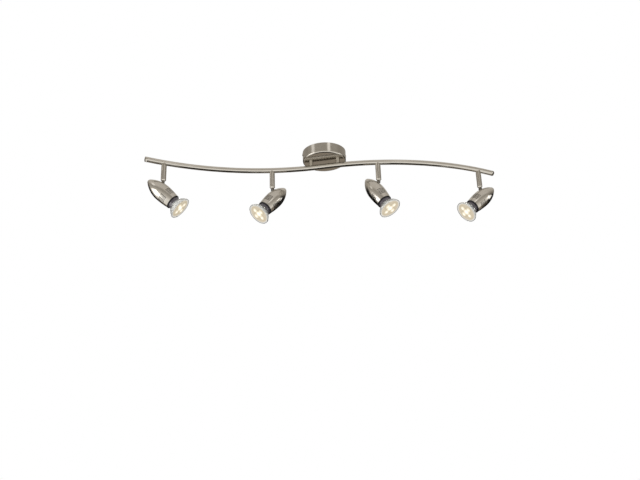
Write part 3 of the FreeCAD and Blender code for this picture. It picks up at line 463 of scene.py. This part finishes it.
def knuckle(spot, body):
    """Bevelled foot with a flat tongue, its eye rounded about the pivot."""
    bottom = -STEM_FOOT - KNUCKLE_BEVEL
    bm = lathe([(KNUCKLE_PLUG, -STEM_FOOT + KNUCKLE_PLUG_RISE), (KNUCKLE_PLUG, -STEM_FOOT),
                (BAR_RADIUS - 0.1, -STEM_FOOT), (BAR_RADIUS - 0.2, -STEM_FOOT - 0.3),
                (KNUCKLE_NOSE + 0.2, bottom + 0.1), (KNUCKLE_NOSE - 0.2, bottom), (0, bottom)], 56)
    tongue = bmesh.ops.create_circle(bm, segments=32, radius=EYE_RADIUS,
                                     matrix=Matrix.Translation((0, -TONGUE_WIDTH / 2, -PIVOT_DROP))
                                     @ Matrix.Rotation(math.pi / 2, 4, "X"))["verts"]
    for vert in tongue:
        if vert.co.z > -PIVOT_DROP + 0.1:
            vert.co.z = bottom + 0.3
            vert.co.x = math.copysign(EYE_RADIUS, vert.co.x) if abs(vert.co.x) > 0.3 else vert.co.x
    face = bm.faces.new(tongue)
    drawn = bmesh.ops.extrude_face_region(bm, geom=[face])["geom"]
    moved = [item for item in drawn if isinstance(item, bmesh.types.BMVert)]
    bmesh.ops.translate(bm, vec=(0, TONGUE_WIDTH, 0), verts=moved)
    bmesh.ops.recalc_face_normals(bm, faces=bm.faces)
    around_uv(bm, BAR_RADIUS)
    finish_mesh(bm, "knuckle_foot_%d" % spot, body, NICKEL_TUBE, stem_place(spot),
                30, ("knuckle_%d" % spot,))


def ogive():
    """Half outline of the bullet from its nose to its mouth."""
    nose_centre = SHADE_REAR + SHADE_NOSE
    run = SHADE_WIDEST - nose_centre
    curve = (SHADE_RADIUS ** 2 + run ** 2 - SHADE_NOSE ** 2) / (2 * (SHADE_RADIUS - SHADE_NOSE))
    leg = curve - SHADE_NOSE
    touch = (SHADE_NOSE * (curve - SHADE_RADIUS) / leg, nose_centre - SHADE_NOSE * run / leg)
    fall = SHADE_RADIUS - SHADE_MOUTH
    mouth_run = SHADE_FRONT - SHADE_WIDEST
    mouth_curve = (mouth_run ** 2 + fall ** 2) / (2 * fall)
    profile = [(0, nose_centre - SHADE_NOSE)]
    profile += arc(profile[-1], touch, SHADE_NOSE, 10)
    profile += arc(touch, (SHADE_RADIUS, SHADE_WIDEST), curve, 26)
    profile += arc(profile[-1], (SHADE_MOUTH, SHADE_FRONT), mouth_curve, 20)
    return profile


def in_vent(point):
    """Whether a point of the skin lies in one of the vent slots."""
    step = (point.z - VENT_FIRST) / VENT_PITCH
    if not (0 <= step < VENTS_PER_GROUP and (step % 1) * VENT_PITCH < VENT_SLOT):
        return False
    turn = math.degrees(math.atan2(point.y, point.x)) % (360 / VENT_GROUPS)
    return abs(turn - 180 / VENT_GROUPS) < VENT_ANGLE / 2


def shade(spot):
    """Spun bullet with four groups of sawn cooling slots and a slot for its hinge ears."""
    bm = lathe(ogive(), 120)
    for number in range(VENTS_PER_GROUP):
        for edge in (0, VENT_SLOT):
            height = VENT_FIRST + number * VENT_PITCH + edge
            slice_at(bm, (0, 0, height), (0, 0, 1))
    for group in range(VENT_GROUPS):
        for side in (-1, 1):
            turn = math.radians(360 / VENT_GROUPS * (group + 0.5) + side * VENT_ANGLE / 2)
            slice_at(bm, (0, 0, 0), (-math.sin(turn), math.cos(turn), 0))
    ear_half = TONGUE_WIDTH / 2 + EAR_SLOT_MARGIN
    for offset in (ear_half, -ear_half):
        slice_at(bm, (0, offset, 0), (0, 1, 0))
    for height in (EAR_SLOT_HALF, -EAR_SLOT_HALF):
        slice_at(bm, (0, 0, height), (0, 0, 1))
    holes = []
    for face in bm.faces:
        middle = face.calc_center_median()
        ears = middle.x < 0 and abs(middle.y) < ear_half and abs(middle.z) < EAR_SLOT_HALF
        if in_vent(middle) or ears:
            holes.append(face)
    bmesh.ops.delete(bm, geom=holes, context="FACES")
    around_uv(bm, SHADE_RADIUS)
    piece = finish_mesh(bm, "shade_skin_%d" % spot, "head_%d" % spot, NICKEL_TURNED, head_place(spot),
                        40, ("shade_%d" % spot,))
    modify(piece, "SOLIDIFY", thickness=SHADE_WALL * MM, offset=-1, use_even_offset=True)
    modify(piece, "BEVEL", width=0.15 * MM, segments=2, limit_method="ANGLE")
    modify(piece, "WEIGHTED_NORMAL", keep_sharp=True)


def slice_at(bm, place, normal):
    """Cut edges into the whole mesh where a plane crosses it."""
    bmesh.ops.bisect_plane(bm, geom=bm.verts[:] + bm.edges[:] + bm.faces[:], dist=1e-4,
                           plane_co=place, plane_no=normal)


def mouth_collar(spot):
    """Black ring pressed into the shade's mouth, with a lip in front of it."""
    lip = SHADE_MOUTH + 0.3
    inner = LAMP_NECK + 0.4
    top = SHADE_FRONT + COLLAR_LIP
    insert = SHADE_MOUTH - SHADE_WALL - 0.05
    back = SHADE_FRONT - COLLAR_INSERT
    profile = [(inner, back), (insert, back), (insert, SHADE_FRONT), (lip, SHADE_FRONT), (lip, top - 0.5)]
    profile += arc(profile[-1], (lip - 0.5, top), 0.5, 4)
    profile += [(inner + 0.3, top), (inner, top - 0.3)]
    bm = lathe(profile, 96, closed=True)
    finish_mesh(bm, "collar_ring_%d" % spot, "head_%d" % spot, BLACK, head_place(spot),
                30, ("mouth_collar_%d" % spot,))


def pivot_screw(spot):
    """One shank through both ears, with a low domed head at each end."""
    bm = bmesh.new()
    across = Matrix.Rotation(math.pi / 2, 4, "X")
    reach = TONGUE_WIDTH / 2 + EAR_THICK
    for side in (-1, 1):
        middle = Vector((-HEAD_OFFSET, side * (reach + SCREW_HEAD_DEPTH / 2), 0))
        head = bmesh.ops.create_cone(bm, cap_ends=True, segments=32, radius1=SCREW_HEAD,
                                     radius2=SCREW_HEAD, depth=SCREW_HEAD_DEPTH,
                                     matrix=Matrix.Translation(middle) @ across)["verts"]
        outer = [edge for edge in bm.edges if all(
            vert in head and abs(vert.co.y) > reach + 0.7 for vert in edge.verts)]
        bmesh.ops.bevel(bm, geom=outer, offset=0.3, segments=3, profile=0.5, affect="EDGES",
                        material=-1)
    shank = Matrix.Translation((-HEAD_OFFSET, 0, 0)) @ across
    bmesh.ops.create_cone(bm, cap_ends=True, segments=24, radius1=SCREW_SHANK, radius2=SCREW_SHANK,
                          depth=2 * reach, matrix=shank)
    # Darker nickel: painted shade for the notch the pins sit in.
    finish_mesh(bm, "pivot_pin_%d" % spot, "head_%d" % spot, NICKEL_HINGE_SHADED, head_place(spot),
                30, ("pivot_screw_%d" % spot,))


# ------------------------------------------------------------------------------ lamps
def lamp_neck(spot):
    """Dark glossy housing with its two headed pins."""
    step = LAMP_BACK + LAMP_BASE_LENGTH
    shoulder = step + LAMP_NECK - LAMP_BASE
    profile = [(0, LAMP_BACK), (LAMP_BASE - 0.8, LAMP_BACK)]
    profile += arc(profile[-1], (LAMP_BASE, LAMP_BACK + 0.8), 0.8, 4)
    profile += [(LAMP_BASE, step), (LAMP_NECK, shoulder), (LAMP_NECK, GLASS_START - 3.2)]
    profile += arc(profile[-1], (LAMP_NECK, GLASS_START - 2.0), -0.9, 4)
    profile += [(LAMP_NECK, GLASS_START), (0, GLASS_START)]
    bm = lathe(profile, 96)
    for side in (-1, 1):
        for radius, depth in ((PIN_RADIUS, PIN_LENGTH), (PIN_HEAD, 2.5)):
            place = Matrix.Translation((side * PIN_OFFSET, 0, LAMP_BACK - PIN_LENGTH + depth / 2))
            bmesh.ops.create_cone(bm, cap_ends=True, segments=24, radius1=radius, radius2=radius,
                                  depth=depth, matrix=place)
    finish_mesh(bm, "lamp_neck_%d" % spot, "lamp_%d" % spot, HOUSING, head_place(spot),
                30, ("lamp_body_%d" % spot,))


def lamp_bowl(spot):
    """Flared glass with a ground rim."""
    rim = LAMP_FACE - RIM_DEPTH
    wall = GLASS_WALL
    profile = [(LAMP_NECK - wall, GLASS_START + wall), (LAMP_NECK - 0.5, GLASS_START),
               (LAMP_NECK, GLASS_START)]
    profile += arc(profile[-1], (LAMP_RADIUS, rim), GLASS_CURVE, 18)
    profile += [(LAMP_RADIUS, LAMP_FACE - 0.4)]
    profile += arc(profile[-1], (LAMP_RADIUS - 0.4, LAMP_FACE), 0.4, 3)
    profile += [(LAMP_RADIUS - wall + 0.2, LAMP_FACE), (LAMP_RADIUS - wall, LAMP_FACE - 0.2),
                (LAMP_RADIUS - wall, rim)]
    profile += arc(profile[-1], (LAMP_NECK - wall, GLASS_START + wall), -GLASS_CURVE, 18)[:-1]
    bm = lathe(profile, 120, closed=True)
    finish_mesh(bm, "lamp_bowl_%d" % spot, "lamp_%d" % spot, GLASS, head_place(spot),
                30, ("lamp_glass_%d" % spot,))


def reflector(spot):
    """Fluted bowl inside the glass, seen through it."""
    inner = GLASS_WALL + 0.25
    profile = [(LAMP_NECK - inner - 2.0, GLASS_START + inner), (LAMP_NECK - inner, GLASS_START + inner)]
    profile += arc(profile[-1], (LAMP_RADIUS - inner, LAMP_FACE - RIM_DEPTH - 0.2), GLASS_CURVE, 10)
    bm = lathe(profile, FLUTES * 2)
    for vert in bm.verts:
        turn = round(math.atan2(vert.co.y, vert.co.x) / math.tau * FLUTES * 2)
        if turn % 2:
            vert.co.xy *= 0.975
    # Its finish carries a faint painted glow for the lamp's light leaking through the coating.
    finish_mesh(bm, "reflector_%d" % spot, "lamp_%d" % spot, MIRROR, head_place(spot), 80)


def lamp_front(spot):
    """Lit moulded optic: a plate with a ring of low domes."""
    face = LAMP_FACE - LENS_RECESS
    radius = LAMP_RADIUS - GLASS_WALL - 0.05
    bm = lathe([(0, face - LENS_DEPTH), (radius, face - LENS_DEPTH), (radius, face - 0.3),
                (radius - 0.3, face), (0, face)], 96)
    curve = (LENS_DOME ** 2 + LENS_CROWN ** 2) / (2 * LENS_CROWN)
    for number in range(LENS_DOMES):
        turn = math.tau * number / LENS_DOMES
        dome = lathe([(LENS_DOME, -0.3), (LENS_DOME, 0)] + arc(
            (LENS_DOME, 0), (0, LENS_CROWN), curve, 8), 40)
        bmesh.ops.translate(dome, verts=dome.verts,
                            vec=(LENS_RING * math.cos(turn), LENS_RING * math.sin(turn), face))
        shape = bpy.data.meshes.new("dome")
        dome.to_mesh(shape)
        dome.free()
        bm.from_mesh(shape)
        bpy.data.meshes.remove(shape)
    layer = bm.loops.layers.uv.new("plan")
    eighth = Matrix.Rotation(math.pi / 4, 2)
    for poly in bm.faces:
        for loop in poly.loops:
            loop[layer].uv = eighth @ loop.vert.co.xy * MM
    finish_mesh(bm, "lit_lens_%d" % spot, "lamp_%d" % spot, LENS, head_place(spot),
                30, ("lamp_lens_%d" % spot,))


# ----------------------------------------------------------------- CAD nodes that show
def dress(name, finish):
    """Give a carried-over node its finish, welded and smoothed between its sharp edges."""
    piece = frame["nodes"][name]
    piece.data.materials.clear()
    piece.data.materials.append(finish)
    for face in piece.data.polygons:
        face.use_smooth = True
    modify(piece, "WELD", merge_threshold=1e-6)
    modify(piece, "EDGE_SPLIT", split_angle=math.radians(30))


def dress_frame():
    """Finishes of all carried-over nodes."""
    finishes = {
        NICKEL_SMALL: ["post_left", "post_right", "saddles", "canopy_screws"],
        ZINC: ["ceiling_strap", "earth_screw", "post_nuts", "post_washers", "bar_nuts", "stem_nipples",
               "post_nipples", "terminal_screws", "terminal_block_screws"],
        NYLON: ["terminal_block"],
        BRASS: ["terminal_clamps"],
        INSULATION: ["wiring"],
    }
    finishes[ZINC] += ["holder_bracket_%d" % spot for spot in SPOTS]
    finishes[CERAMIC] = ["lampholder_%d" % spot for spot in SPOTS]
    for finish, names in finishes.items():
        for name in names:
            dress(name, finish)


# ------------------------------------------------------------------------------ studio
# The studio is laid out in metres and radians, the camera's lens in mm.
CAMERA_PLACE = Vector((-0.2727, -1.5717, -0.8398))
CAMERA_HEADING = -0.162
CAMERA_PITCH = 0.376
CAMERA_ROLL = -0.033
CAMERA_LENS = 45.0
FLOOR_DROP = 2.3


def camera():
    """Below the fixture and a little to its left, looking up."""
    made = bpy.data.cameras.new("camera")
    made.lens = CAMERA_LENS
    made.sensor_width = 36.0
    holder = bpy.data.objects.new("camera", made)
    turn = (Matrix.Rotation(CAMERA_HEADING, 4, "Z") @ Matrix.Rotation(math.pi / 2 + CAMERA_PITCH, 4, "X")
            @ Matrix.Rotation(CAMERA_ROLL, 4, "Z"))
    holder.matrix_world = Matrix.Translation(CAMERA_PLACE) @ turn
    bpy.context.scene.collection.objects.link(holder)
    bpy.context.scene.camera = holder


def soft_box(name, azimuth, elevation, distance, size, radiance):
    """A rectangular soft light that faces the fixture; azimuth 0 is in front, + to the right."""
    light = bpy.data.lights.new(name, "AREA")
    light.shape = "RECTANGLE"
    light.size, light.size_y = size
    light.energy = radiance * math.pi * size[0] * size[1]
    holder = bpy.data.objects.new(name, light)
    turn, lift = math.radians(azimuth), math.radians(elevation)
    away = Vector((math.sin(turn) * math.cos(lift), -math.cos(turn) * math.cos(lift), math.sin(lift)))
    holder.matrix_world = Matrix.Translation(away * distance) @ away.to_track_quat(
        "Z", "Y").to_matrix().to_4x4()
    bpy.context.scene.collection.objects.link(holder)


def floor():
    """A plain pale floor far below the fixture."""
    bm = bmesh.new()
    bmesh.ops.create_grid(bm, x_segments=1, y_segments=1, size=4.0,
                          matrix=Matrix.Translation((0, 0, -FLOOR_DROP)))
    mesh = bpy.data.meshes.new("floor")
    bm.to_mesh(mesh)
    bm.free()
    mesh.materials.append(grained("pale_painted_floor", "#ecebe7", "#f3f2ef", 0.7, 0.85, 40.0))
    ground = bpy.data.objects.new("floor", mesh)
    bpy.context.scene.collection.objects.link(ground)
    ground.visible_glossy = False


def surround():
    """White all round, but for what the metal mirrors: a pale front and ceiling, a dark floor,
    and a browner, dimmer far side with a dark strip along its horizon, as in a small
    light tent."""
    world = bpy.data.worlds.new("studio")
    bpy.context.scene.world = world
    world.use_nodes = True
    tree = world.node_tree
    way = add(tree, "ShaderNodeTexCoord").outputs["Generated"]
    rise = add(tree, "ShaderNodeMapRange", {
        0: add(tree, "ShaderNodeSeparateXYZ", {0: way}).outputs[2], 1: -1.0, 2: 1.0}).outputs[0]
    near = add(tree, "ShaderNodeValToRGB", {0: rise}, (
        (0.0, "#1b1917"), (1.0, "#d0cbc4"), (0.055, "#0d0c0b"), (0.1, "#fffdf8"), (0.33, "#fffdf8"),
        (0.47, "#dcd8d1"), (0.6, "#bdb8b0"), (0.73, "#a09b93"), (0.84, "#d2cdc6")))
    far = add(tree, "ShaderNodeValToRGB", {0: rise}, (
        (0.0, "#0d0c0b"), (1.0, "#d0cbc4"), (0.08, "#151311"), (0.13, "#5a554e"), (0.22, "#9a9185"),
        (0.35, "#8c8378"), (0.4, "#080706"), (0.62, "#080706"), (0.7, "#8b857d"), (0.84, "#c2bdb5")))
    towards = add(tree, "ShaderNodeVectorMath", {0: way, 1: (-0.34, -0.94, -0.35)}, operation="DOT_PRODUCT")
    share = add(tree, "ShaderNodeMapRange", {0: towards.outputs["Value"], 1: -0.2, 2: 0.0},
                interpolation_type="SMOOTHSTEP")
    graded = add(tree, "ShaderNodeMix", {0: share.outputs[0], 6: far.outputs[0], 7: near.outputs[0]},
                 data_type="RGBA")
    mirrored = add(tree, "ShaderNodeLightPath").outputs["Is Glossy Ray"]
    seen = add(tree, "ShaderNodeMix", {0: mirrored, 6: (1.0, 1.0, 1.0, 1.0), 7: graded.outputs[2]},
               data_type="RGBA")
    power = add(tree, "ShaderNodeMapRange", {0: mirrored, 3: 1.0, 4: 1.2})
    tree.links.new(seen.outputs[2], tree.nodes["Background"].inputs["Color"])
    tree.links.new(power.outputs[0], tree.nodes["Background"].inputs["Strength"])


bpy.context.scene.view_settings.view_transform = "Standard"
camera()
floor()
surround()
soft_box("strip_left", -70, 29, 1.6, (0.45, 0.4), 0.6)
soft_box("strip_right", 16, 29, 1.8, (0.4, 0.4), 0.85)
soft_box("side_left", -80, -11, 2.5, (1.7, 1.1), 2.4)
soft_box("side_right", 81, 1, 2.5, (1.3, 0.6), 2.0)
canopy()
bar()
end_caps()
for spot in SPOTS:
    stem(spot)
    shade(spot)
    mouth_collar(spot)
    pivot_screw(spot)
    lamp_neck(spot)
    lamp_bowl(spot)
    reflector(spot)
    lamp_front(spot)
dress_frame()
